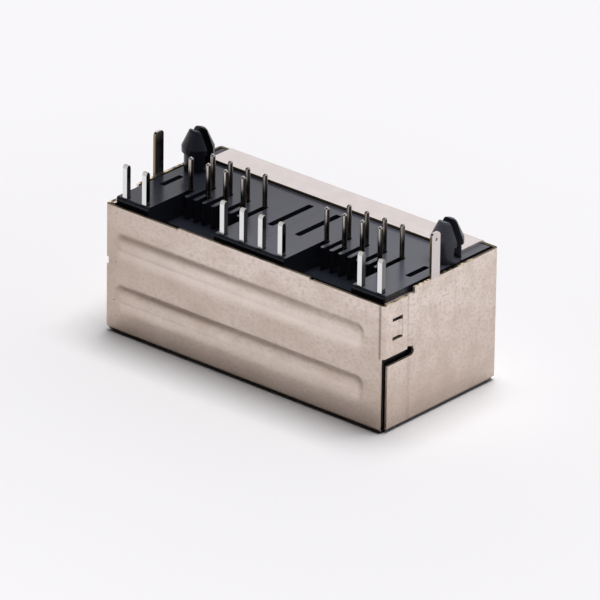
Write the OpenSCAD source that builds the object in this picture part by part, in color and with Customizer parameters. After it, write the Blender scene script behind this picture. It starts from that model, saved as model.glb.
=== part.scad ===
// Shielded dual ethernet jack for a printed circuit board, with signal lamps.
// It stands on its flat top cover, so the board side with the pins points up.
// X runs along the width, the rear cover faces -Y and the two ports open to +Y.
// All sizes are in millimetres.

/* [Shield] */
// Distance from a plug opening to the outer face of the side plate
side_margin = 2.31; // [2:0.01:2.4]
// Depth from the rear cover to the port face
shield_d = 15.5; // [15.2:0.1:17]
// How far the rear cover's upper edge lies below the board face
rear_drop = 0.42; // [0.2:0.02:0.6]
// Thickness of the metal sheet
sheet = 0.25; // [0.2:0.01:0.28]
// Outer radius of the folds along the top cover
fold_r = 0.55; // [0.4:0.05:0.6]
// Outer radius of the upright folds beside the port face
corner_r = 0.4; // [0.3:0.05:0.8]
// Outer radius of the upright folds beside the rear cover
rear_corner_r = 0.3; // [0.28:0.02:0.5]

/* [Front flap] */
// Width of the flap that is folded over the board side
flap_w = 29.3; // [26:0.5:30]
// Length of the flap, measured from the port face
flap_len = 3.3; // [2:0.1:3.6]

/* [Rear cover] */
// Width of the raised middle of the upper edge
tongue_w = 15.8; // [12:0.2:20]
// How much lower the upper edge lies beside the middle
tongue_step = 0.14; // [0.05:0.01:0.3]
// Height of the lower pressed groove's middle above the table
groove_low_z = 4.05; // [3:0.05:5]
// Distance between the two pressed grooves
groove_pitch = 5; // [4:0.1:6]
// Half the height of a pressed groove
groove_half = 0.88; // [0.6:0.02:1]
// Depth of a pressed groove
groove_deep = 0.14; // [0.1:0.02:0.3]
// Bare sheet between the left edge and a groove
groove_left = 1.1; // [1:0.1:4]
// Bare sheet between the right edge and a groove
groove_right = 2.2; // [1:0.1:4]
// Radius that rounds the lower left corner of the rear cover
rear_round = 1.2; // [0.6:0.1:1.6]

/* [Ears] */
// Length of an ear along the side plate
ear_len = 3.2; // [3:0.1:3.4]
// Height at which an ear starts
ear_z = 7.25; // [7:0.05:8]
// Width of the slit below the ear
ear_slit = 0.8; // [0.4:0.05:1]
// Length of that slit from the rear face
ear_slit_len = 4.1; // [4:0.05:4.6]
// Height of the middle of the ear's latch strip
latch_z = 9.62; // [9.4:0.02:10]
// Height of the latch strip
latch_h = 1.5; // [1.2:0.1:1.7]
// Length of the latch strip along the ear
latch_len = 1.35; // [1:0.05:1.5]
// How far the latch strip is pressed in
latch_deep = 0.2; // [0.1:0.02:0.22]

/* [Solder tabs] */
// Width of a solder tab
tab_w = 1.12; // [1:0.02:2]
// Distance from the rear face to the middle of a tab
tab_y = 6.85; // [6:0.05:8]
// Height of a tab's tip above the table
tab_top = 17.14; // [15.5:0.02:17.5]

/* [Housing] */
// Height of the board face above the table
face_z = 12.9; // [12.88:0.01:13.2]
// Distance from the rear face of the shield to the moulding
rear_gap = 0.7; // [0.6:0.05:0.8]
// Distance from the rear face to the front of an open pit
pit_y = 5; // [4.9:0.05:5.1]
// Height of a pit's bottom above the table
pit_z = 4; // [3.8:0.1:6]

/* [Ports] */
// Width of the plug opening
plug_w = 11.9; // [11.7:0.05:12]
// Wall between the two plug openings
web = 3.98; // [3.8:0.02:4.2]
// Height of the plug opening
plug_h = 6.9; // [6.7:0.05:7]
// Height of the plug opening's lower wall above the table
plug_z = 3.55; // [3.5:0.02:3.6]
// Distance from the rear face to the wall that stops the plug
stop_y = 4.2; // [4:0.05:4.5]
// Width of the wide part of the latch channel
catch_w = 6.3; // [6:0.1:6.6]
// Width of the narrow part of the latch channel
lever_w = 3.9; // [3.4:0.1:4.2]

/* [Contact wires] */
// Diameter of a contact wire
wire_d = 0.45; // [0.4:0.01:0.48]
// Distance between neighbouring contact wires
wire_pitch = 1.02; // [1:0.01:1.04]
// Distance from the rear face to the near row of pins
row_near_y = 6.08; // [6:0.02:6.2]
// Distance between the two rows of pins
row_gap = 1.78; // [1.5:0.02:2]
// Height of a pin's tip above the table
pin_top = 16.2; // [15.6:0.1:16.6]
// Radius to which the spring part is curved
spring_r = 24; // [20:1:40]

/* [Lamps] */
// Wall between the latch channel and a lamp
lamp_web = 1.17; // [1.1:0.01:1.3]
// Distance between the two leads of a lamp
lead_gap = 2.29; // [2.2:0.01:2.3]
// Width of a square lead
lead_w = 0.5; // [0.4:0.02:0.52]
// Height of a lead's tip above the table
lead_top = 16.04; // [15.6:0.02:16.4]
// Length of a lamp's body
lamp_len = 6; // [5:0.1:6.4]

/* [Board posts] */
// Distance from the moulding's side to a post's middle
post_inset = 1.12; // [1:0.01:1.4]
// Distance from the port face to a post's middle
post_back = 5.1; // [5:0.05:5.4]
// Radius of a post's shank
post_r = 1.28; // [1.2:0.01:1.4]
// Height of a post's tip above the table
post_top = 16.65; // [16.4:0.05:17.2]
// Thickness of the board that a post snaps into
board_t = 1.57; // [1.5:0.01:1.7]

/* [Hidden] */
$fn = 48;
// Depth by which a cut runs past the face that it opens
past = 1;
// Air between two layers of sheet, and between sheet and moulding
lap = 0.04;
// Clearance of a wire, a lead or a lamp in its groove
fit = 0.06;
port_pitch = plug_w + web;
half_w = web / 2 + plug_w + side_margin;
inner_w = half_w - sheet;
rear_h = face_z - rear_drop;
side_h = face_z - lap;
flap_z = face_z + lap / 2 + sheet;
flap_fold_r = 0.55;
ear_top = rear_h - tongue_step;
groove_r = (groove_half * groove_half + groove_deep * groove_deep) / (2 * groove_deep);
// The moulding clears the set-in part of the side plate
house_w = inner_w - sheet - 2 * lap;
house_front = shield_d - sheet - lap;
house_z = sheet + lap;
plug_top = plug_z + plug_h;
// Wire: height of the straight run, and the radii of its two bends
run_z = plug_top + 0.55;
pin_bend_r = 0.5;
hook_r = 0.7;
hook_y = shield_d - 2.3;
comb_wall = 1;
comb_top = plug_top - wire_d;
// Floor of the pit above the plug opening, and of the slots that lead from it to the pins
shelf_z = run_z - wire_d / 2 - fit;
// Free end of the spring: the angle through which the spring curves down to it, and its height
free_y = stop_y - 0.6;
spring_turn = asin((hook_y - free_y) / spring_r);
free_z = run_z - 2 * hook_r - spring_r * (1 - cos(spring_turn));
// Clearance of a wire in its slot, and of its hook in front of the groove's end
slot_gap = 0.075;
hook_gap = 0.1;
slot_w = wire_d + 2 * slot_gap;
rib_w = wire_pitch - slot_w;
pit_w = 7 * wire_pitch + slot_w;
// Lamps: the body, the lens in the port face and the run of the leads
lamp_w = lead_gap + lead_w + 0.01;
lamp_x = catch_w / 2 + lamp_web + lamp_w / 2;
lamp_z0 = 0.45;
lamp_h = plug_z - lamp_z0 - 0.4;
lens_w = lamp_w - 0.4;
lens_h = lamp_h - 0.7;
lamp_back = house_front - lamp_len;
// Wall between a lead and the rear of the moulding, and its height below the board face
lead_wall = 0.2;
lead_wall_h = 1.3;
lead_y = rear_gap + lead_wall + fit + lead_w / 2;
lead_run_z = lamp_z0 + 1.05;
lead_bend_r = 0.6;
// Contact fingers beside each plug opening
finger_z = plug_z + plug_h / 2;
finger_h = 2.8;
finger_in = 0.62;
finger_len = 4.2;
finger_edge = plug_w / 2 + fold_r;
// Bottom edges of the two steps of the latch channel, and thickness of the shoulder behind them
catch_z = plug_z - 1.45;
lever_z = plug_z - 2.45;
shoulder_t = 2;
// Clearance between the shield's windows and what shows through them
window_gap = 0.12;
lens_z = lamp_z0 + lamp_h / 2;
// Rear edge of the side plates, length of the set-in part's slope, middle of the latch strip
side_gap_y = 0.58;
// Upright edge of the rear cover's flat sheet beside that gap
rear_edge = inner_w - lap - sheet / 3;
joggle = 0.4;
latch_y = 1.85;
latch_slit_low = 0.18;
latch_slit_high = 0.44;
relief_y = 0.78;
relief_z = fold_r - 2 * lap;
// Post: middle, barb, tip and the slot between its two prongs
post_x = house_w - post_inset;
post_y = shield_d - post_back;
barb_r = post_r + 0.22;
tip_r = 0.84;
slot_root = 1.1;
slot_neck = 0.8;
slot_floor = 0.25;
// Grooves in the board face
groove_y0 = 5.3;
groove_depth = 0.8;
mid_groove_x = 1.6;
mid_groove_w = 0.66;
mid_groove_y1 = shield_d - flap_len - 1.2;
side_groove_x = post_x - 0.2;
side_groove_w = 0.6;
side_groove_y1 = 8;
// Place of a wire across its port, counted from the left, and of its pin; the two rows alternate
function wire_x(n) = (n - 3.5) * wire_pitch;
function pin_y(n) = row_near_y + (n % 2) * row_gap;

// Shifts the jack so that the middle of its depth lies at y = 0
module place() {
    translate([0, -shield_d / 2, 0])
        children();
}

// Mirrored pair, left and right
module both_sides() {
    children();
    mirror([1, 0, 0])
        children();
}

// The same thing at each of the two ports
module at_ports() {
    for (side = [-1, 1])
        translate([side * port_pitch / 2, 0, 0])
            children();
}

// Box given by its two opposite corners
module span(low, high) {
    translate(low)
        cube(high - low);
}

// Drawing of (depth, height) that runs from one x to another
module across(x0, x1) {
    translate([x0, 0, 0])
        rotate([90, 0, 90])
            linear_extrude(x1 - x0)
                children();
}

// Drawing of (width, height) that runs from one y to another
module inward(y0, y1) {
    translate([0, y1, 0])
        rotate([90, 0, 0])
            linear_extrude(y1 - y0)
                children();
}

// What a round corner takes away at the origin
module corner_waste(r) {
    difference() {
        translate([-past, -past])
            square(r + past);
        translate([r, r])
            circle(r);
    }
}

// Rectangle between two corners, with a radius for each corner, counter-clockwise from the low one
module rounded(low, high, radii) {
    difference() {
        translate(low)
            square(high - low);
        if (radii[0] > 0)
            translate(low)
                corner_waste(radii[0]);
        if (radii[1] > 0)
            translate([high[0], low[1]])
                rotate(90)
                    corner_waste(radii[1]);
        if (radii[2] > 0)
            translate(high)
                rotate(180)
                    corner_waste(radii[2]);
        if (radii[3] > 0)
            translate([low[0], high[1]])
                rotate(270)
                    corner_waste(radii[3]);
    }
}

// Solid block of the folded sheet's outer form, moved in by a distance
module folded_block(inset) {
    w = half_w - inset;
    low_r = fold_r - inset;
    front_r = corner_r - inset;
    rear_r = rear_corner_r - inset;
    top_r = flap_fold_r - inset;
    intersection() {
        across(-w, w)
            rounded([inset, inset], [shield_d - inset, flap_z - inset], [low_r, low_r, top_r, 0]);
        inward(0, shield_d)
            rounded([-w, inset], [w, flap_z - inset], [low_r, low_r, 0, 0]);
        linear_extrude(flap_z)
            rounded([-w, inset], [w, shield_d - inset], [rear_r, rear_r, front_r, front_r]);
    }
}

// Outline of a port: the plug opening, and below it the stepped channel of the plug's latch
module port_outline(grow) {
    r = 0.3;
    rounded([-plug_w / 2 - grow, plug_z - grow], [plug_w / 2 + grow, plug_top + grow], [r, r, r, r]);
    translate([-catch_w / 2 - grow, catch_z - grow])
        square([catch_w + 2 * grow, plug_z - catch_z + past]);
    rounded([-lever_w / 2 - grow, lever_z - grow], [lever_w / 2 + grow, plug_z], [r, r, 0, 0]);
}

// Round bar with ball ends along X, from which a pressed groove is cut
module groove_bar(r, z) {
    x0 = -half_w + groove_left + groove_half;
    x1 = half_w - groove_right - groove_half;
    translate([x0, groove_deep - groove_r, z]) {
        rotate([0, 90, 0])
            cylinder(r = r, h = x1 - x0);
        sphere(r);
        translate([x1 - x0, 0, 0])
            sphere(r);
    }
}

// Side plate behind the ear, set in by the thickness of the sheet
module set_in_plate() {
    outer = inner_w - lap;
    inner = outer - sheet;
    difference() {
        linear_extrude(ear_top - lap)
            polygon([
                [inner, side_gap_y], [outer, side_gap_y],
                [outer, ear_slit_len - joggle], [half_w, ear_slit_len],
                [inner_w, ear_slit_len + sheet], [inner_w - 0.02, ear_slit_len + sheet / 2],
                [inner, ear_slit_len - joggle + sheet / 2]
            ]);
        span([0, -past, -past], [half_w + past, shield_d, ear_z]);
        span([0, latch_y - latch_len / 2 - lap, latch_z - latch_h / 2 - latch_slit_low - lap],
            [half_w, latch_y + latch_len / 2 + lap, latch_z + latch_h / 2 + latch_slit_high + lap]);
    }
}

// Strip of the ear that is pressed into the window of the side plate
module latch_strip() {
    y0 = latch_y - latch_len / 2;
    y1 = latch_y + latch_len / 2;
    x1 = half_w - latch_deep;
    translate([0, 0, latch_z - latch_h / 2])
        linear_extrude(latch_h)
            polygon([
                [half_w, y0 - lap], [x1, y0 + latch_deep], [x1, y1 - latch_deep], [half_w, y1 + lap],
                [inner_w, y1 + lap], [x1 - sheet, y1 - latch_deep - lap],
                [x1 - sheet, y0 + latch_deep + lap], [inner_w, y0 - lap]
            ]);
}

// Tab that is soldered into the board, in line with the side plate
module solder_tab() {
    r = tab_w / 3;
    difference() {
        across(inner_w, half_w)
            rounded([tab_y - tab_w / 2, side_h - past], [tab_y + tab_w / 2, tab_top], [0, 0, r, r]);
        translate([half_w - sheet / 3, tab_y, tab_top - 0.65])
            rotate([0, 90, 0])
                cylinder(d = 0.34, h = sheet);
    }
}

// Contact finger bent from the window's edge into the port, at the right of a port
module finger() {
    y0 = shield_d - fold_r;
    x0 = finger_edge - fold_r;
    tip = y0 - finger_len;
    mid = y0 - 0.65 * finger_len;
    translate([0, 0, finger_z - finger_h / 2]) {
        translate([finger_edge, y0, 0])
            rotate([0, 0, 90])
                rotate_extrude(angle = 90)
                    translate([fold_r - sheet, 0])
                        square([sheet, finger_h]);
        linear_extrude(finger_h)
            polygon([
                [x0, y0], [x0 - finger_in, mid], [x0 - finger_in / 2, tip],
                [x0 - finger_in / 2 + sheet, tip], [x0 - finger_in + sheet, mid], [x0 + sheet, y0]
            ]);
    }
}

// Folded sheet with everything that is cut out of it
module shield_sheet() {
    difference() {
        union() {
            difference() {
                folded_block(0);
                folded_block(sheet);
            }
            // Back of the two pressed grooves
            intersection() {
                union() {
                    groove_bar(groove_r + sheet, groove_low_z);
                    groove_bar(groove_r + sheet, groove_low_z + groove_pitch);
                }
                span([-half_w, sheet / 2, 0], [half_w, shield_d, rear_h]);
            }
        }
        groove_bar(groove_r, groove_low_z);
        groove_bar(groove_r, groove_low_z + groove_pitch);
        // Open board side behind the flap, and beside it
        span([-half_w - past, -past, side_h], [half_w + past, shield_d - flap_len, flap_z + past]);
        both_sides()
            span([flap_w / 2, -past, side_h], [half_w + past, shield_d + past, flap_z + past]);
        // Upper edge of the rear cover, with a raised middle and a nick at each step
        span([-half_w - past, -past, rear_h], [half_w + past, ear_slit_len, flap_z]);
        both_sides() {
            span([tongue_w / 2, -past, ear_top], [half_w + past, ear_slit_len, flap_z]);
            span([tongue_w / 2 - sheet, -past, ear_top - sheet / 2], [tongue_w / 2, 2 * sheet, flap_z]);
        }
        // Gap between rear cover and side plate, open at the lower corner; the cover laps over the left one
        span([rear_edge, -past, -past], [half_w + past, side_gap_y, ear_z]);
        span([-half_w - past, sheet, -past], [-rear_edge, side_gap_y, ear_z]);
        inward(-past, side_gap_y)
            translate([-half_w, 0])
                corner_waste(rear_round);
        both_sides() {
            // Slit below the ear
            span([rear_edge, -past, ear_z - ear_slit],
                [half_w + past, ear_slit_len - ear_slit / 2, ear_z]);
            translate([inner_w - past, ear_slit_len - ear_slit / 2, ear_z - ear_slit / 2])
                rotate([0, 90, 0])
                    cylinder(d = ear_slit, h = 2 * past + sheet);
            // Room between the ear's edge and the full side plate
            span([inner_w - past, ear_len, ear_z - lap], [half_w + past, ear_slit_len, flap_z]);
            // Window of the latch strip
            span([inner_w - past, latch_y - latch_len / 2, latch_z - latch_h / 2 - latch_slit_low],
                [half_w + past, latch_y + latch_len / 2, latch_z + latch_h / 2 + latch_slit_high]);
            // Relief where three folds meet at the port face
            span([half_w - corner_r, shield_d - relief_y, -past],
                [half_w + past, shield_d + past, relief_z]);
        }
        at_ports() {
            inward(shield_d - 2 * sheet, shield_d + past)
                port_outline(window_gap);
            both_sides() {
                span([0, shield_d - fold_r, finger_z - finger_h / 2 - window_gap],
                    [finger_edge, shield_d + past, finger_z + finger_h / 2 + window_gap]);
                span([lamp_x - lens_w / 2 - window_gap, shield_d - 2 * sheet, lens_z - lens_h / 2 - window_gap],
                    [lamp_x + lens_w / 2 + window_gap, shield_d + past, lens_z + lens_h / 2 + window_gap]);
            }
        }
    }
}

// One stamped and folded sheet of plated metal
module shield() {
    color([0.78, 0.74, 0.7])
        place() {
            shield_sheet();
            both_sides() {
                set_in_plate();
                latch_strip();
                solder_tab();
            }
            at_ports()
                both_sides()
                    finger();
        }
}

// Split post that snaps into a hole of the board
module board_post() {
    barb_z = face_z + board_t;
    translate([post_x, post_y, 0])
        difference() {
            rotate_extrude()
                polygon([
                    [0, face_z - past], [post_r / 2, face_z - past], [post_r / 2, face_z - lap],
                    [post_r, face_z - lap], [post_r, barb_z],
                    [barb_r, barb_z + 0.1], [barb_r, barb_z + 0.6], [tip_r, post_top - 0.15],
                    [tip_r - 0.15, post_top], [0, post_top]
                ]);
            across(-2 * barb_r, 2 * barb_r)
                polygon([
                    [-slot_root / 2, face_z + slot_floor], [slot_root / 2, face_z + slot_floor],
                    [slot_neck / 2, barb_z + 0.3], [slot_neck / 2, post_top + past],
                    [-slot_neck / 2, post_top + past], [-slot_neck / 2, barb_z + 0.3]
                ]);
        }
}

// Plain block of the moulding with its round edges
module house_block() {
    intersection() {
        across(-house_w, house_w)
            rounded([rear_gap, house_z], [house_front, face_z], [0.2, 0.4, 0.4, 0.3]);
        linear_extrude(face_z)
            rounded([-house_w, rear_gap], [house_w, house_front], [0.2, 0.2, 0.3, 0.3]);
    }
}

// Everything that one port takes out of the moulding
module port_hollow() {
    back = stop_y - comb_wall;
    inward(house_front - shoulder_t, house_front + past)
        port_outline(0);
    // Plug opening up to the wall that stops the plug
    span([-plug_w / 2, stop_y, plug_z], [plug_w / 2, house_front, plug_top]);
    // Latch channel, wider and deeper behind the shoulder
    span([-catch_w / 2, stop_y + 2, lever_z + 0.2],
        [catch_w / 2, house_front - shoulder_t + lap, plug_z + lap]);
    // Pit that is open to the board side and to the rear
    span([-pit_w / 2, -past, pit_z], [pit_w / 2, back, face_z + past]);
    span([-pit_w / 2, back - lap, shelf_z], [pit_w / 2, pit_y, face_z + past]);
    // Pockets of the contact fingers
    both_sides()
        span([0, shield_d - fold_r - finger_len - 0.4, finger_z - finger_h / 2 - window_gap],
            [finger_edge, house_front + past, finger_z + finger_h / 2 + window_gap]);
    for (n = [0 : 7]) {
        x = wire_x(n);
        // Slot of the pin, closed by a round end, and groove of the run in the opening's upper wall
        span([x - slot_w / 2, back - lap, shelf_z], [x + slot_w / 2, pin_y(n), face_z + past]);
        translate([x, pin_y(n), plug_top - lap])
            cylinder(d = slot_w, h = face_z);
        span([x - slot_w / 2, pin_y(n), plug_top - lap],
            [x + slot_w / 2, pin_y(n) + pin_bend_r, run_z + pin_bend_r]);
        span([x - slot_w / 2, pin_y(n), plug_top - lap],
            [x + slot_w / 2, hook_y + hook_r + wire_d / 2 + hook_gap, run_z + wire_d / 2 + fit]);
        // Comb for the free end of the spring
        span([x - slot_w / 2, back - past, free_z - wire_d], [x + slot_w / 2, stop_y + past, comb_top]);
    }
    both_sides() {
        // Room of the lamp, open to the top cover
        span([lamp_x - lamp_w / 2 - fit, lamp_back - fit, 0],
            [lamp_x + lamp_w / 2 + fit, house_front + past, lamp_z0 + lamp_h + fit]);
        for (side = [-1, 1]) {
            x = lamp_x + side * lead_gap / 2;
            half = lead_w / 2 + fit;
            // Channel of a lead, open to the top cover and to the rear, and its hole in the board face
            span([x - half, -past, 0], [x + half, lamp_back, lead_run_z + half]);
            span([x - half, -past, 0], [x + half, lead_y + half, face_z - lead_wall_h]);
            span([x - half, lead_y - half, 0], [x + half, lead_y + half, face_z + past]);
            span([x - half, -past, 0], [x + half, lead_y + lead_bend_r, lead_run_z + lead_bend_r]);
        }
    }
}

// Black moulding that holds everything
module housing() {
    color([0.13, 0.13, 0.14])
        place() {
            difference() {
                house_block();
                at_ports()
                    port_hollow();
                // Grooves in the board face
                both_sides() {
                    translate([0, 0, face_z - groove_depth])
                        linear_extrude(past + groove_depth) {
                            translate([mid_groove_x, 0])
                                groove_plan(mid_groove_w, mid_groove_y1);
                            translate([side_groove_x, 0])
                                groove_plan(side_groove_w, side_groove_y1);
                        }
                }
            }
            // Round noses of the ribs between the pin slots
            at_ports()
                for (n = [0 : 6])
                    translate([wire_x(n) + wire_pitch / 2, pit_y, shelf_z - lap])
                        cylinder(d = rib_w, h = face_z - shelf_z + lap);
            both_sides()
                board_post();
        }
}

// Plan of a blind groove in the board face
module groove_plan(width, y1) {
    r = width / 2;
    rounded([-r, groove_y0], [r, y1], [r / 2, r / 2, r / 2, r / 2]);
}

// One round contact wire: pin, run along the upper wall, hook and spring
module contact(port, n) {
    color([0.86, 0.8, 0.62])
        place()
            translate([(port - 1.5) * port_pitch + wire_x(n), 0, 0])
                rotate([90, 0, 90]) {
                    // Pin with a blunt tip
                    translate([pin_y(n), run_z + pin_bend_r])
                        rotate([-90, 0, 0])
                            rotate_extrude()
                                polygon([
                                    [0, 0], [wire_d / 2, 0],
                                    [wire_d / 2, pin_top - run_z - pin_bend_r - wire_d / 3],
                                    [wire_d / 5, pin_top - run_z - pin_bend_r],
                                    [0, pin_top - run_z - pin_bend_r]
                                ]);
                    translate([pin_y(n) + pin_bend_r, run_z + pin_bend_r])
                        wire_bend(pin_bend_r, 180, 90);
                    translate([pin_y(n) + pin_bend_r, run_z])
                        rotate([0, 90, 0])
                            cylinder(d = wire_d, h = hook_y - pin_y(n) - pin_bend_r);
                    translate([hook_y, run_z - hook_r])
                        wire_bend(hook_r, -90, 180);
                    translate([hook_y, run_z - 2 * hook_r - spring_r])
                        wire_bend(spring_r, 90, spring_turn, $fn = 360);
                }
}

// Bend of a round wire around the origin, from one angle on
module wire_bend(r, start, turn) {
    rotate([0, 0, start])
        rotate_extrude(angle = turn)
            translate([r, 0])
                circle(d = wire_d);
}

// Signal lamp with its lens in the port face
module lamp(port, side) {
    r = 0.3;
    color([0.85, 0.88, 0.82, 0.8])
        place()
            translate([(port - 1.5) * port_pitch + side * lamp_x, 0, 0]) {
                inward(lamp_back, house_front)
                    rounded([-lamp_w / 2, lamp_z0], [lamp_w / 2, lamp_z0 + lamp_h], [r, r, r, r]);
                inward(house_front - lap, shield_d - lap)
                    rounded([-lens_w / 2, lens_z - lens_h / 2], [lens_w / 2, lens_z + lens_h / 2],
                        [r, r, r, r]);
            }
}

// Square lead of a lamp: along the top cover, a bend, and up beside the rear cover
module lamp_lead(port, n) {
    side = n < 3 ? -1 : 1;
    part = n % 2 == 1 ? -1 : 1;
    h = lead_top - lead_run_z - lead_bend_r;
    half = lead_w / 2;
    color([0.8, 0.8, 0.8])
        place()
            translate([(port - 1.5) * port_pitch + side * lamp_x + part * lead_gap / 2, 0, 0]) {
                across(-half, half)
                    polygon([
                        [lead_y - half, lead_run_z + lead_bend_r], [lead_y + half, lead_run_z + lead_bend_r],
                        [lead_y + half, lead_top - half], [lead_y + half / 2, lead_top],
                        [lead_y - half / 2, lead_top], [lead_y - half, lead_top - half]
                    ]);
                translate([0, lead_y + lead_bend_r, lead_run_z + lead_bend_r])
                    rotate([90, 0, 90])
                        rotate([0, 0, 180])
                            rotate_extrude(angle = 90)
                                translate([lead_bend_r - half, -half])
                                    square(lead_w);
                span([-half, lead_y + lead_bend_r, lead_run_z - half],
                    [half, lamp_back, lead_run_z + half]);
            }
}

shield();
housing();
contact(1, 0);  // contact_p1_1
contact(1, 1);  // contact_p1_2
contact(1, 2);  // contact_p1_3
contact(1, 3);  // contact_p1_4
contact(1, 4);  // contact_p1_5
contact(1, 5);  // contact_p1_6
contact(1, 6);  // contact_p1_7
contact(1, 7);  // contact_p1_8
contact(2, 0);  // contact_p2_1
contact(2, 1);  // contact_p2_2
contact(2, 2);  // contact_p2_3
contact(2, 3);  // contact_p2_4
contact(2, 4);  // contact_p2_5
contact(2, 5);  // contact_p2_6
contact(2, 6);  // contact_p2_7
contact(2, 7);  // contact_p2_8
lamp(1, -1);  // lamp_p1_a
lamp(1, 1);  // lamp_p1_b
lamp(2, -1);  // lamp_p2_a
lamp(2, 1);  // lamp_p2_b
lamp_lead(1, 1);  // lead_p1_1
lamp_lead(1, 2);  // lead_p1_2
lamp_lead(1, 3);  // lead_p1_3
lamp_lead(1, 4);  // lead_p1_4
lamp_lead(2, 1);  // lead_p2_1
lamp_lead(2, 2);  // lead_p2_2
lamp_lead(2, 3);  // lead_p2_3
lamp_lead(2, 4);  // lead_p2_4
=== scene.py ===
import bpy
import math
from mathutils import Matrix, Vector

# The dual jack as it lies on the table: upside down on its top cover, board side up.
# Everything is in metres; MM turns the maker's millimetres into them.
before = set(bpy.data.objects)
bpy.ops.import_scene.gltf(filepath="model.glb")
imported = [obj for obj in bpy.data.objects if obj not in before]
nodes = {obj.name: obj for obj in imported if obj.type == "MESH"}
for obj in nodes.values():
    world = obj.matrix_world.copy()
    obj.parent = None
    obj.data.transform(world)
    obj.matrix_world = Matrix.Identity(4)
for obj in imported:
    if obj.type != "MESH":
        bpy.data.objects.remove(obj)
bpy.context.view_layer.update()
MM = 0.001

# The shield
# One sheet of copper alloy, 0.25 mm thick, nickel plated, then stamped and folded
# round the moulding. The plating is satin and a little warm, and the cut edges are bare.
sheet_colour = (0.81, 0.71, 0.65, 1.0)
sheet_shade = (0.68, 0.575, 0.505, 1.0)
sheet_grain = (0.54, 0.45, 0.385, 1.0)
# Painted shade, browner towards the table and on the left of the cover
painted_shade_brown = (0.46, 0.365, 0.295, 1.0)
# Painted reflection: a more neutral tone for the faces from the flap height up
painted_flap_reflection = (0.63, 0.585, 0.575, 1.0)
# Painted shade for the grooves' upper flanks, then one colour for painted highlights on the grooves and for
# real scratches
painted_groove_shade_colour = (0.30, 0.24, 0.20, 1.0)
highlight_and_scratch_colour = (0.90, 0.80, 0.735, 1.0)
# Painted shade, nearly black, for the fold at the table and the inside of the left tab
painted_dark_shade = (0.03, 0.024, 0.02, 1.0)
cut_edge_dark = (0.10, 0.075, 0.045, 1.0)
cut_edge_gold = (0.86, 0.70, 0.45, 1.0)
tab_edge = (0.26, 0.20, 0.12, 1.0)
speck_colour = (0.26, 0.21, 0.17, 1.0)
# Painted shade for the ears' crease and gap
painted_crease_colour = (0.20, 0.16, 0.14, 1.0)
sheet_roughness = (0.35, 0.47)
polished_roughness = 0.2
patch_mm, patch_stretch, patch_detail = 1.7, (0.5, 1, 1), 7.0
grain_mm, grain_stretch, grain_detail = 0.27, (0.6, 0.8, 1), 5.0
speck_spacing_mm, speck_mm, specks_kept = 1.7, 0.2, 0.32

# Where the tints of the shield come in: from and to, and the share at both
patch_share = (0.4, 0.68, 0.0, 1.0)
grain_share = (0.46, 0.76, 0.0, 0.85)
gold_share = (0.45, 0.6, 0.0, 1.0)
# The next six place painted shade and a painted highlight: towards the table, at the fold, on the left of
# the cover, on the grooves' lower flanks and in the ear's gap
painted_shade_by_z = (0.5, 11.0, 0.65, 0.0)
painted_fold_shade_by_z = (0.12, 0.5, 0.95, 0.0)
painted_left_shade_by_x = (-16.0, -3.0, 0.6, 0.15)
painted_left_shade_by_z = (1.5, 6.0, 0.0, 1.0)
painted_highlight_by_z = (2.5, 8.0, 0.2, 0.7)
painted_ear_shade_by_z = (7.25, 12.0, 0.15, 0.6)
scratched_by_z = (0.9, 2.6, 1.0, 0.0)
scratched_by_y = (-6.0, -4.0, 1.0, 0.0)

# Places on the shield, in the maker's millimetres
rear_face_y = -7.75
fold_mm = 0.3
end_plate_x = 15.85
end_face_x = 16.0
board_side_z = 12.3
flap_z = 12.85
tab_z = 13.0
flap_edge_y = 4.45
left_tab_x = -11.0
crease_x = 15.75
ear_z = 7.25
ear_gap_y = -4.35
slot_y, slot_half = -6.0, 2.4
slot_z = (1.0, 7.0)
groove_left_x = -14.22
groove_right_x = 13.12
# Each groove: its middle height, and the share of painted shade on its upper flank
grooves = ((4.05, 0.45), (9.05, 0.85))
# Where the painted shade and the painted highlight sit on each groove
shade_above, shade_half, shade_soft = 0.45, 0.15, 0.5
highlight_below, highlight_half, highlight_soft = 0.95, 0.3, 0.8
groove_flank = (0.15, 0.95)
groove_extra_mm = 0.18
bow_top_z = 3.0
bow_mm = 0.36


def start_finish(name):
    """A new node material, with its principled shader and a place on the piece in millimetres."""
    made = bpy.data.materials.new(name)
    made.use_nodes = True
    tree = made.node_tree
    shader = tree.nodes["Principled BSDF"]
    place = tree.nodes.new("ShaderNodeTexCoord")
    to_mm = tree.nodes.new("ShaderNodeMapping")
    to_mm.inputs["Scale"].default_value = (1 / MM, 1 / MM, 1 / MM)
    tree.links.new(place.outputs["Object"], to_mm.inputs["Vector"])
    return made, tree, shader, to_mm.outputs["Vector"]


def stretched(tree, place, scale):
    """The place with its axes stretched."""
    squeeze = tree.nodes.new("ShaderNodeMapping")
    squeeze.inputs["Scale"].default_value = scale
    tree.links.new(place, squeeze.inputs["Vector"])
    return squeeze.outputs["Vector"]


def cloudy(tree, place, size_mm, stretch=(1, 1, 1), detail=3.0):
    """A soft random pattern whose patches are about size_mm across."""
    noise = tree.nodes.new("ShaderNodeTexNoise")
    noise.inputs["Scale"].default_value = 1 / size_mm
    noise.inputs["Detail"].default_value = detail
    tree.links.new(stretched(tree, place, stretch), noise.inputs["Vector"])
    return noise.outputs["Fac"]


def calc(tree, kind, *values):
    """One sum of a node tree; a value is a number or another node's result."""
    step = tree.nodes.new("ShaderNodeMath")
    step.operation = kind
    for socket, value in zip(step.inputs, values):
        if isinstance(value, (int, float)):
            socket.default_value = value
        else:
            tree.links.new(value, socket)
    return step.outputs["Value"]


def hold(tree, first, *others):
    """1 where all of the values are 1."""
    for other in others:
        first = calc(tree, "MULTIPLY", first, other)
    return first


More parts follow.
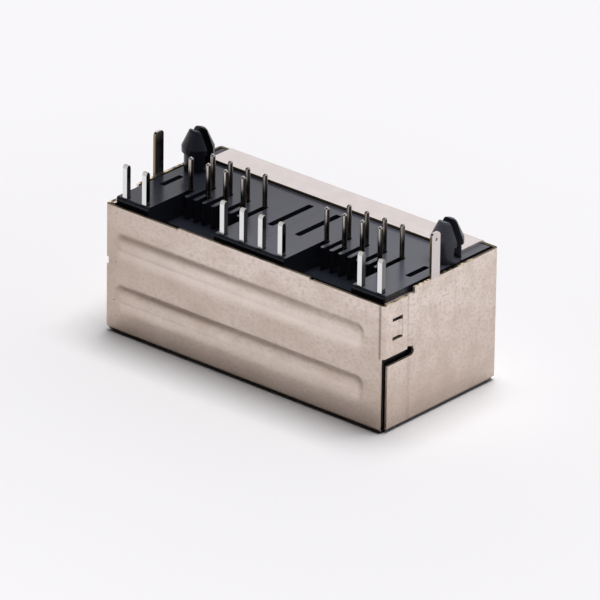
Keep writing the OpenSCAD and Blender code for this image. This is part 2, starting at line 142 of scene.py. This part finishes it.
def spread(tree, value, low, high, out_low, out_high):
    """Stretches a value from one range to another."""
    ramp = tree.nodes.new("ShaderNodeMapRange")
    ramp.inputs["From Min"].default_value = low
    ramp.inputs["From Max"].default_value = high
    ramp.inputs["To Min"].default_value = out_low
    ramp.inputs["To Max"].default_value = out_high
    tree.links.new(value, ramp.inputs["Value"])
    return ramp.outputs["Result"]


def past(tree, value, mark, soft, share=1.0):
    """A share where a value is past a mark, fading in over a width."""
    return spread(tree, value, mark, mark + soft, 0.0, share)


def short_of(tree, value, mark, soft, share=1.0):
    """A share where a value is short of a mark, fading out over a width."""
    return spread(tree, value, mark, mark + soft, share, 0.0)


def band(tree, value, middle, half, soft):
    """1 within a distance of a middle value, with soft flanks."""
    return short_of(tree, calc(tree, "ABSOLUTE", calc(tree, "SUBTRACT", value, middle)), half, soft)


def uneven(tree, place, size_mm, least, most, stretch=(1, 1, 1)):
    """A value that wanders between two ends, in patches of a size."""
    return spread(tree, cloudy(tree, place, size_mm, stretch), 0.3, 0.7, least, most)


def mixed(tree, share, first, second, kind="RGBA"):
    """Mixes two colours, or two numbers, by a share from 0 to 1."""
    mix = tree.nodes.new("ShaderNodeMix")
    mix.data_type = kind
    socket_type = {"RGBA": "RGBA", "FLOAT": "VALUE"}[kind]
    for letter, value in (("A", first), ("B", second)):
        socket = [s for s in mix.inputs if s.name == letter and s.type == socket_type][0]
        if isinstance(value, (tuple, float)):
            socket.default_value = value
        else:
            tree.links.new(value, socket)
    tree.links.new(share, mix.inputs["Factor"])
    return [s for s in mix.outputs if s.type == socket_type][0]


def axes(tree, place):
    """A place or a direction, split into X, Y and Z."""
    split = tree.nodes.new("ShaderNodeSeparateXYZ")
    tree.links.new(place, split.inputs["Vector"])
    return split.outputs


def facing(tree, axis):
    """1 on faces that look along an axis, X to the right end or Z up."""
    geometry = tree.nodes.new("ShaderNodeNewGeometry")
    return spread(tree, axes(tree, geometry.outputs["Normal"])[axis], 0.45, 0.85, 0.0, 1.0)


def bumps(tree, height, strength, depth_mm, under=None):
    """Turns a pattern into fine relief of the surface, on top of a coarser relief."""
    bump = tree.nodes.new("ShaderNodeBump")
    bump.inputs["Strength"].default_value = strength
    bump.inputs["Distance"].default_value = depth_mm * MM
    tree.links.new(height, bump.inputs["Height"])
    if under is not None:
        tree.links.new(under, bump.inputs["Normal"])
    return bump.outputs["Normal"]


def specks(tree, place, spacing_mm, size_mm, kept):
    """1 on small spots, at a share of the points that lie about spacing_mm apart."""
    cells = tree.nodes.new("ShaderNodeTexVoronoi")
    cells.inputs["Scale"].default_value = 1 / spacing_mm
    tree.links.new(place, cells.inputs["Vector"])
    draw = tree.nodes.new("ShaderNodeSeparateColor")
    tree.links.new(cells.outputs["Color"], draw.inputs["Color"])
    radius = size_mm / spacing_mm / 2
    spot = short_of(tree, cells.outputs["Distance"], 0.6 * radius, 0.4 * radius)
    return hold(tree, spot, short_of(tree, draw.outputs["Red"], kept - 0.001, 0.001))


def scratches(tree, place):
    """Bright lines that run up slantwise to the right on the end face."""
    lines = tree.nodes.new("ShaderNodeTexWave")
    lines.bands_direction = "DIAGONAL"
    for socket, value in (("Scale", 1.1), ("Distortion", 2.5), ("Detail", 3.0), ("Detail Scale", 1.5)):
        lines.inputs[socket].default_value = value
    tree.links.new(stretched(tree, place, (1, -1, 1)), lines.inputs["Vector"])
    return past(tree, lines.outputs["Fac"], 0.75, 0.15, 0.3)


def length(tree, across, upward):
    """The length of the long side of a right triangle."""
    return calc(tree, "SQRT", calc(tree, "ADD", calc(tree, "MULTIPLY", across, across),
                                   calc(tree, "MULTIPLY", upward, upward)))


def from_line(tree, where, x_from, x_to, z):
    """The distance in millimetres from a level line on the rear cover, counted half below it."""
    along = calc(tree, "ABSOLUTE", calc(tree, "SUBTRACT", where["X"], (x_from + x_to) / 2))
    beyond = calc(tree, "MAXIMUM", calc(tree, "SUBTRACT", along, (x_to - x_from) / 2), 0.0)
    above = calc(tree, "SUBTRACT", where["Z"], z)
    above = calc(tree, "MAXIMUM", above, calc(tree, "MULTIPLY", above, -0.5))
    return length(tree, beyond, above)


def cut_edge_share(tree, where, above_z):
    """1 on the sheet's bare cut edges above a height, which face the rear, or up but below the flap."""
    geometry = tree.nodes.new("ShaderNodeNewGeometry")
    normal = axes(tree, geometry.outputs["True Normal"])
    upward = hold(tree, past(tree, normal["Z"], 0.9, 0.05), short_of(tree, where["Z"], tab_z, 0.05))
    rearward = hold(tree, short_of(tree, normal["Y"], -0.95, 0.05),
                    past(tree, where["Z"], flap_z + 0.03, 0.04))
    return hold(tree, past(tree, where["Z"], above_z, 0.01), calc(tree, "MAXIMUM", upward, rearward))


def dress(node, material, smooth_deg=35):
    """Gives a CAD piece its finish, with its round faces shaded smooth and its edges kept sharp."""
    piece = nodes[node]
    piece.data.materials.clear()
    piece.data.materials.append(material)
    piece.data.shade_smooth()
    piece.data.set_sharp_from_angle(angle=math.radians(smooth_deg))


plating, tree, shader, place = start_finish("nickel_plating")
shader.inputs["Metallic"].default_value = 1.0
where = axes(tree, place)
on_cover = short_of(tree, where["Y"], rear_face_y + fold_mm, 0.01)
on_end = past(tree, where["X"], end_plate_x, 0.05)

finish = mixed(tree, spread(tree, cloudy(tree, place, patch_mm, patch_stretch, patch_detail), *patch_share),
               sheet_colour, sheet_shade)
finish = mixed(tree, spread(tree, cloudy(tree, place, grain_mm, grain_stretch, grain_detail), *grain_share),
               finish, sheet_grain)
# Painted shade: the plating gets browner and darker towards the table
finish = mixed(tree, spread(tree, where["Z"], *painted_shade_by_z), finish, painted_shade_brown)
# Painted reflection: faces from the flap height up take a more neutral tone, standing in for the white
# backdrop they reflect
finish = mixed(tree, past(tree, where["Z"], flap_z, 0.03, 0.85), finish, painted_flap_reflection)

# Painted shade lies along the upper flank of each pressed groove, stronger to the left, and a painted
# highlight along the lower one
in_reach = hold(tree, on_cover, band(tree, where["X"], (groove_left_x + groove_right_x) / 2,
                                     (groove_right_x - groove_left_x) / 2 + 0.1, 0.6))
for middle, shade_share in grooves:
    upper = hold(tree, band(tree, where["Z"], middle + shade_above, shade_half, shade_soft), in_reach)
    lower = hold(tree, band(tree, where["Z"], middle - highlight_below, highlight_half, highlight_soft), in_reach)
    painted_groove_shade = hold(tree, upper, spread(tree, where["X"], -14.9, 8.0, shade_share, 0.3 * shade_share))
    painted_groove_highlight = hold(tree, lower, spread(tree, where["Z"], *painted_highlight_by_z))
    finish = mixed(tree, painted_groove_highlight, mixed(tree, painted_groove_shade, finish, painted_groove_shade_colour), highlight_and_scratch_colour)

# Painted shade darkens the left of the cover and the fold at the table, and the lower corner is scratched
painted_left_shade = hold(tree, on_cover, spread(tree, where["X"], *painted_left_shade_by_x), spread(tree, where["Z"], *painted_left_shade_by_z))
finish = mixed(tree, painted_left_shade, finish, painted_shade_brown)
# Painted shade: the fold along the table is painted nearly black
finish = mixed(tree, spread(tree, where["Z"], *painted_fold_shade_by_z), finish, painted_dark_shade)
corner = hold(tree, past(tree, where["X"], end_face_x, 0.05), spread(tree, where["Z"], *scratched_by_z),
              spread(tree, where["Y"], *scratched_by_y))
finish = mixed(tree, hold(tree, corner, scratches(tree, place)), finish, highlight_and_scratch_colour)
finish = mixed(tree, specks(tree, place, speck_spacing_mm, speck_mm, specks_kept), finish, speck_colour)

# Painted shade on the inside of the left tab and in the folds and gaps of the ears, and gold on the lower
# edge of their slots
painted_tab_shade = hold(tree, facing(tree, "X"), short_of(tree, where["X"], left_tab_x, 1.0, 0.85),
                  past(tree, where["Z"], tab_z, 0.1))
finish = mixed(tree, painted_tab_shade, finish, painted_dark_shade)
# Painted shade in the crease at the ear's corner
painted_crease_shade = hold(tree, band(tree, where["X"], crease_x, 0.03, 0.16),
              past(tree, where["Z"], ear_z - 0.1, 0.1, 0.75),
              short_of(tree, where["Y"], rear_face_y + 0.2, 0.1))
finish = mixed(tree, painted_crease_shade, finish, painted_crease_colour)
# Painted shade in the ear's gap on the end face
painted_ear_gap_shade = hold(tree, band(tree, where["Y"], ear_gap_y, 0.12, 0.2), on_end,
               spread(tree, where["Z"], *painted_ear_shade_by_z))
finish = mixed(tree, painted_ear_gap_shade, finish, painted_crease_colour)
slot_edge = hold(tree, on_end, facing(tree, "Z"), band(tree, where["Y"], slot_y, slot_half, 0.1),
                 past(tree, where["Z"], slot_z[0], 0.1, 0.8), short_of(tree, where["Z"], slot_z[1], 0.1))
finish = mixed(tree, slot_edge, finish, cut_edge_gold)

# The bare cut edges, golden where they are fresh
bare = mixed(tree, spread(tree, cloudy(tree, place, 0.5), *gold_share), cut_edge_dark, cut_edge_gold)
bare = mixed(tree, past(tree, where["Y"], rear_face_y + fold_mm, 0.1), cut_edge_dark, bare)
bare = mixed(tree, past(tree, where["Y"], flap_edge_y - 0.1, 0.05), bare, cut_edge_dark)
bare = mixed(tree, past(tree, where["Z"], tab_z, 0.1), bare, tab_edge)
finish = mixed(tree, cut_edge_share(tree, where, board_side_z), finish, bare)
tree.links.new(finish, shader.inputs["Base Color"])

on_tabs = past(tree, where["Z"], tab_z + 0.3, 0.2)
polished = calc(tree, "MAXIMUM", on_tabs, short_of(tree, where["Z"], 0.35, 0.25))
satin = uneven(tree, place, 1.2, *sheet_roughness)
tree.links.new(mixed(tree, polished, satin, polished_roughness, "FLOAT"), shader.inputs["Roughness"])

# The cover bows in a little towards the table, and the flanks of its grooves are brought out
bow = calc(tree, "POWER", short_of(tree, where["Z"], 0.0, bow_top_z), 2.0)
relief = calc(tree, "MULTIPLY", bow, -bow_mm)
for middle, shade_share in grooves:
    away = from_line(tree, where, groove_left_x, groove_right_x, middle)
    flank = spread(tree, away, *groove_flank, -1.0, 0.0)
    flank.node.interpolation_type = "SMOOTHSTEP"
    deeper = spread(tree, where["X"], -14.0, 10.0, groove_extra_mm, 0.5 * groove_extra_mm)
    relief = calc(tree, "ADD", relief, hold(tree, flank, deeper, on_cover))
pressed = bumps(tree, relief, strength=1.0, depth_mm=1.0)
fine = bumps(tree, cloudy(tree, place, 0.3, (1, 1, 0.35), 6.0), strength=0.16, depth_mm=0.02, under=pressed)
tree.links.new(fine, shader.inputs["Normal"])
dress("shield", plating)

# The housing
# One black moulding of glass-filled plastic. Its face towards the board has a fine
# matte texture, so that it shines grey where the light glances off it.
plastic_colour = (0.018, 0.02, 0.029, 1.0)
# Painted sheen: a greyer tone towards the right of the board face
painted_sheen_colour = (0.080, 0.082, 0.102, 1.0)
plastic_sheen = (0.93, 0.95, 1.0, 1.0)
plastic_specular = 0.27
plastic_roughness = (0.17, 0.27)
seam_colour = (0.0, 0.0, 0.0, 1.0)
dust_colour = (0.16, 0.16, 0.17, 1.0)
seam_x = -0.2
seam_y, seam_half = -1.3, 3.9
painted_sheen_by_x = (-13.0, 11.0, 0.0, 1.0)
face_z = 12.9

moulding, tree, shader, place = start_finish("black_moulding")
where = axes(tree, place)
on_face = past(tree, where["Z"], face_z - 0.02, 0.01)
# Painted sheen: the board face turns greyer towards the right end
painted_sheen = hold(tree, on_face, spread(tree, where["X"], *painted_sheen_by_x))
seam = hold(tree, on_face, 0.7, band(tree, where["X"], seam_x, 0.01, 0.03),
            band(tree, where["Y"], seam_y, seam_half, 0.3))
finish = mixed(tree, seam, mixed(tree, painted_sheen, plastic_colour, painted_sheen_colour), seam_colour)
finish = mixed(tree, specks(tree, place, spacing_mm=1.6, size_mm=0.16, kept=0.16), finish, dust_colour)
tree.links.new(finish, shader.inputs["Base Color"])
shader.inputs["Specular Tint"].default_value = plastic_sheen
shader.inputs["Specular IOR Level"].default_value = plastic_specular
tree.links.new(uneven(tree, place, 0.8, *plastic_roughness), shader.inputs["Roughness"])
fine = bumps(tree, cloudy(tree, place, 0.3, detail=4.0), strength=0.12, depth_mm=0.012)
tree.links.new(fine, shader.inputs["Normal"])
dress("housing", moulding)

# The contact wires
# Sixteen round wires of phosphor bronze: the pins are bright tinned, and the springs
# in the ports are gold plated.
tin_colour = (0.70, 0.65, 0.60, 1.0)
gold_colour = (0.83, 0.62, 0.28, 1.0)
# Bare bronze, darkened as a painted reflection of the black moulding
bronze_and_painted_reflection = (0.20, 0.182, 0.16, 1.0)
# Painted shade for the sides of pins and leads that face the right end
painted_side_shade_colour = (0.045, 0.038, 0.03, 1.0)
wire_roughness = (0.12, 0.26)
gold_top_z = 11.2
dip_z = 14.6

wire_finish, tree, shader, place = start_finish("tinned_and_gilded_wire")
shader.inputs["Metallic"].default_value = 1.0
height = axes(tree, place)["Z"]
dipped = past(tree, height, dip_z - 0.3, 0.8)
# The pin bodies between the gold and the tinned tips are darkened as a painted reflection of the black
# moulding
finish = mixed(tree, past(tree, height, gold_top_z, 0.4), gold_colour, bronze_and_painted_reflection)
finish = mixed(tree, dipped, finish, tin_colour)
# Painted shade: the sides of the pins that face the right end are painted dark
painted_side_shade = hold(tree, facing(tree, "X"), past(tree, height, face_z, 0.1, 0.85))
tree.links.new(mixed(tree, painted_side_shade, finish, painted_side_shade_colour), shader.inputs["Base Color"])
tree.links.new(spread(tree, dipped, 0.0, 1.0, *wire_roughness), shader.inputs["Roughness"])
fine = bumps(tree, cloudy(tree, place, 0.2, (1, 1, 0.2)), strength=0.08, depth_mm=0.01)
tree.links.new(fine, shader.inputs["Normal"])
for name in nodes:
    if name.startswith("contact_"):
        dress(name, wire_finish)

# The signal lamps
# Four small blocks of clear epoxy resin. Their lenses sit in the port face, on the side
# that the photographed view doesn't show.
resin_colour = (0.90, 0.93, 0.88, 1.0)
resin_roughness = (0.14, 0.24)
resin_clear = 0.6
resin_ior = 1.5

resin, tree, shader, place = start_finish("lamp_resin")
shader.inputs["Base Color"].default_value = resin_colour
shader.inputs["Transmission Weight"].default_value = resin_clear
shader.inputs["IOR"].default_value = resin_ior
tree.links.new(uneven(tree, place, 0.5, *resin_roughness), shader.inputs["Roughness"])
for name in nodes:
    if name.startswith("lamp_"):
        dress(name, resin)

# The lamp leads
# Eight square leads of tinned steel, two to a lamp. They come up along the rear cover
# and are cut off bare above the board.
lead_colour = (0.80, 0.80, 0.80, 1.0)
cut_tip = (0.34, 0.28, 0.19, 1.0)
lead_roughness = (0.12, 0.22)
lead_foot_z = 12.0
lead_top_z = 14.0

lead_finish, tree, shader, place = start_finish("tinned_lead")
shader.inputs["Metallic"].default_value = 1.0
height = axes(tree, place)["Z"]
# Painted shade: the sides of the leads that face the right end are painted dark
painted_side_shade = hold(tree, facing(tree, "X"), past(tree, height, lead_foot_z, 0.1, 0.8))
tip = hold(tree, facing(tree, "Z"), past(tree, height, lead_top_z, 0.1, 0.8))
finish = mixed(tree, tip, mixed(tree, painted_side_shade, lead_colour, painted_side_shade_colour), cut_tip)
tree.links.new(finish, shader.inputs["Base Color"])
tree.links.new(uneven(tree, place, 0.4, *lead_roughness, (1, 1, 0.3)), shader.inputs["Roughness"])
fine = bumps(tree, cloudy(tree, place, 0.25, (1, 1, 0.3)), strength=0.12, depth_mm=0.01)
tree.links.new(fine, shader.inputs["Normal"])
for name in nodes:
    if name.startswith("lead_"):
        dress(name, lead_finish)

# The table
# A plain white table top that runs on as far as the picture shows. It keeps the
# jack's soft shadow and turns into the white of the background away from it.
table_colour = (0.93, 0.92, 0.935, 1.0)
table_bounce = (0.55, 0.545, 0.54, 1.0)
table_roughness = 0.8
table_specular = 0.2
background_white = (0.945, 0.93, 0.95, 1.0)
shadow_mm = (8.0, 50.0)
case_half_mm = (16.2, 7.75)
table_half = 1.5


def looking_ray(tree):
    """1 for rays by which the camera sees a thing directly, in a mirror or through glass."""
    path = tree.nodes.new("ShaderNodeLightPath").outputs
    mirrored = calc(tree, "MAXIMUM", path["Is Camera Ray"], path["Is Glossy Ray"])
    return calc(tree, "MAXIMUM", mirrored, path["Is Transmission Ray"])


table_finish, tree, shader, place = start_finish("white_table")
looking = looking_ray(tree)
tree.links.new(mixed(tree, looking, table_bounce, table_colour), shader.inputs["Base Color"])
shader.inputs["Roughness"].default_value = table_roughness
shader.inputs["Specular IOR Level"].default_value = table_specular
where = axes(tree, place)
beside, before = (
    calc(tree, "MAXIMUM", calc(tree, "SUBTRACT", calc(tree, "ABSOLUTE", where[axis]), half), 0.0)
    for axis, half in zip("XY", case_half_mm))
fade = spread(tree, length(tree, beside, before), *shadow_mm, 0.0, 1.0)
fade.node.interpolation_type = "SMOOTHSTEP"
white = tree.nodes.new("ShaderNodeEmission")
white.inputs["Color"].default_value = background_white
both = tree.nodes.new("ShaderNodeMixShader")
tree.links.new(hold(tree, looking, fade), both.inputs["Fac"])
tree.links.new(shader.outputs["BSDF"], both.inputs[1])
tree.links.new(white.outputs["Emission"], both.inputs[2])
tree.links.new(both.outputs["Shader"], tree.nodes["Material Output"].inputs["Surface"])

flat = bpy.data.meshes.new("table_top")
flat.from_pydata([(x * table_half, y * table_half, 0) for x, y in ((-1, -1), (1, -1), (1, 1), (-1, 1))],
                 [], [(0, 1, 2, 3)])
flat.materials.append(table_finish)
table_top = bpy.data.objects.new("table_top", flat)
table_top.location.z = -0.005 * MM
bpy.context.scene.collection.objects.link(table_top)

# The light
# A room that is white behind the jack and round the horizon and dark above the photographer,
# with a soft box overhead and a weak one to the right.
room_dark = (0.03, 0.03, 0.032, 1.0)
room_white = (0.97, 0.955, 0.975, 1.0)
room_strength = 0.4
white_side = Vector((0.1, 0.9, 0.35)).normalized()
white_by_side = (0.15, 0.6, 0.0, 1.0)
horizon_by_height = (0.25, 0.42, 1.0, 0.0)

world = bpy.data.worlds.new("graded_room")
world.use_nodes = True
bpy.context.scene.world = world
tree = world.node_tree
looking = looking_ray(tree)
direction = tree.nodes.new("ShaderNodeTexCoord").outputs["Generated"]
along = tree.nodes.new("ShaderNodeVectorMath")
along.operation = "DOT_PRODUCT"
along.inputs[1].default_value = white_side
tree.links.new(direction, along.inputs[0])
far_table = hold(tree, looking, spread(tree, axes(tree, direction)["Z"], *horizon_by_height))
brighter = calc(tree, "MAXIMUM", far_table, spread(tree, along.outputs["Value"], *white_by_side))
background = tree.nodes["Background"]
tree.links.new(mixed(tree, brighter, room_dark, room_white), background.inputs["Color"])
tree.links.new(spread(tree, looking, 0.0, 1.0, room_strength, 1.0), background.inputs["Strength"])


def soft_box(name, place_mm, size_mm, watts, aim_mm=(0, 0, 6)):
    """A soft box of a width and a height that looks at the jack."""
    lamp = bpy.data.lights.new(name, "AREA")
    lamp.shape = "RECTANGLE"
    lamp.size = size_mm[0] * MM
    lamp.size_y = size_mm[1] * MM
    lamp.energy = watts
    box = bpy.data.objects.new(name, lamp)
    box.location = Vector(place_mm) * MM
    box.rotation_mode = "QUATERNION"
    box.rotation_quaternion = (Vector(aim_mm) - Vector(place_mm)).to_track_quat("-Z", "Y")
    bpy.context.scene.collection.objects.link(box)


soft_box("box_above", (15, 150, 900), (600, 460), 7.4)
soft_box("box_right", (480, 160, 130), (300, 300), 0.04)

# The camera
# A long lens that looks down from the rear right corner, solved from the pins and the
# corners of the case in the photograph.
azimuth_deg = 40.508
elevation_deg = 24.949
roll_deg = 0.8335
distance_mm = 791.437
aim_mm = Vector((0.0, -0.75, 6.0))
off_axis_mm = (0.4603, -0.4114)
focal_px = 8958.18
picture_px = 600
sensor_mm = 36.0

a, e, r = (math.radians(v) for v in (azimuth_deg, elevation_deg, roll_deg))
back = Vector((math.sin(a) * math.cos(e), -math.cos(a) * math.cos(e), math.sin(e)))
level = Vector((math.cos(a), math.sin(a), 0.0))
upright = back.cross(level)
right = level * math.cos(r) + upright * math.sin(r)
up = upright * math.cos(r) - level * math.sin(r)
eye_mm = aim_mm + right * off_axis_mm[0] + up * off_axis_mm[1] + back * distance_mm
lens = bpy.data.cameras.new("camera")
lens.sensor_fit = "HORIZONTAL"
lens.sensor_width = sensor_mm
lens.lens = focal_px * sensor_mm / picture_px
lens.clip_start = 0.05
lens.clip_end = 10.0
camera = bpy.data.objects.new("camera", lens)
camera.matrix_world = Matrix.Translation(eye_mm * MM) @ Matrix((right, up, back)).transposed().to_4x4()
bpy.context.scene.collection.objects.link(camera)
bpy.context.scene.camera = camera
bpy.context.scene.view_settings.view_transform = "Standard"
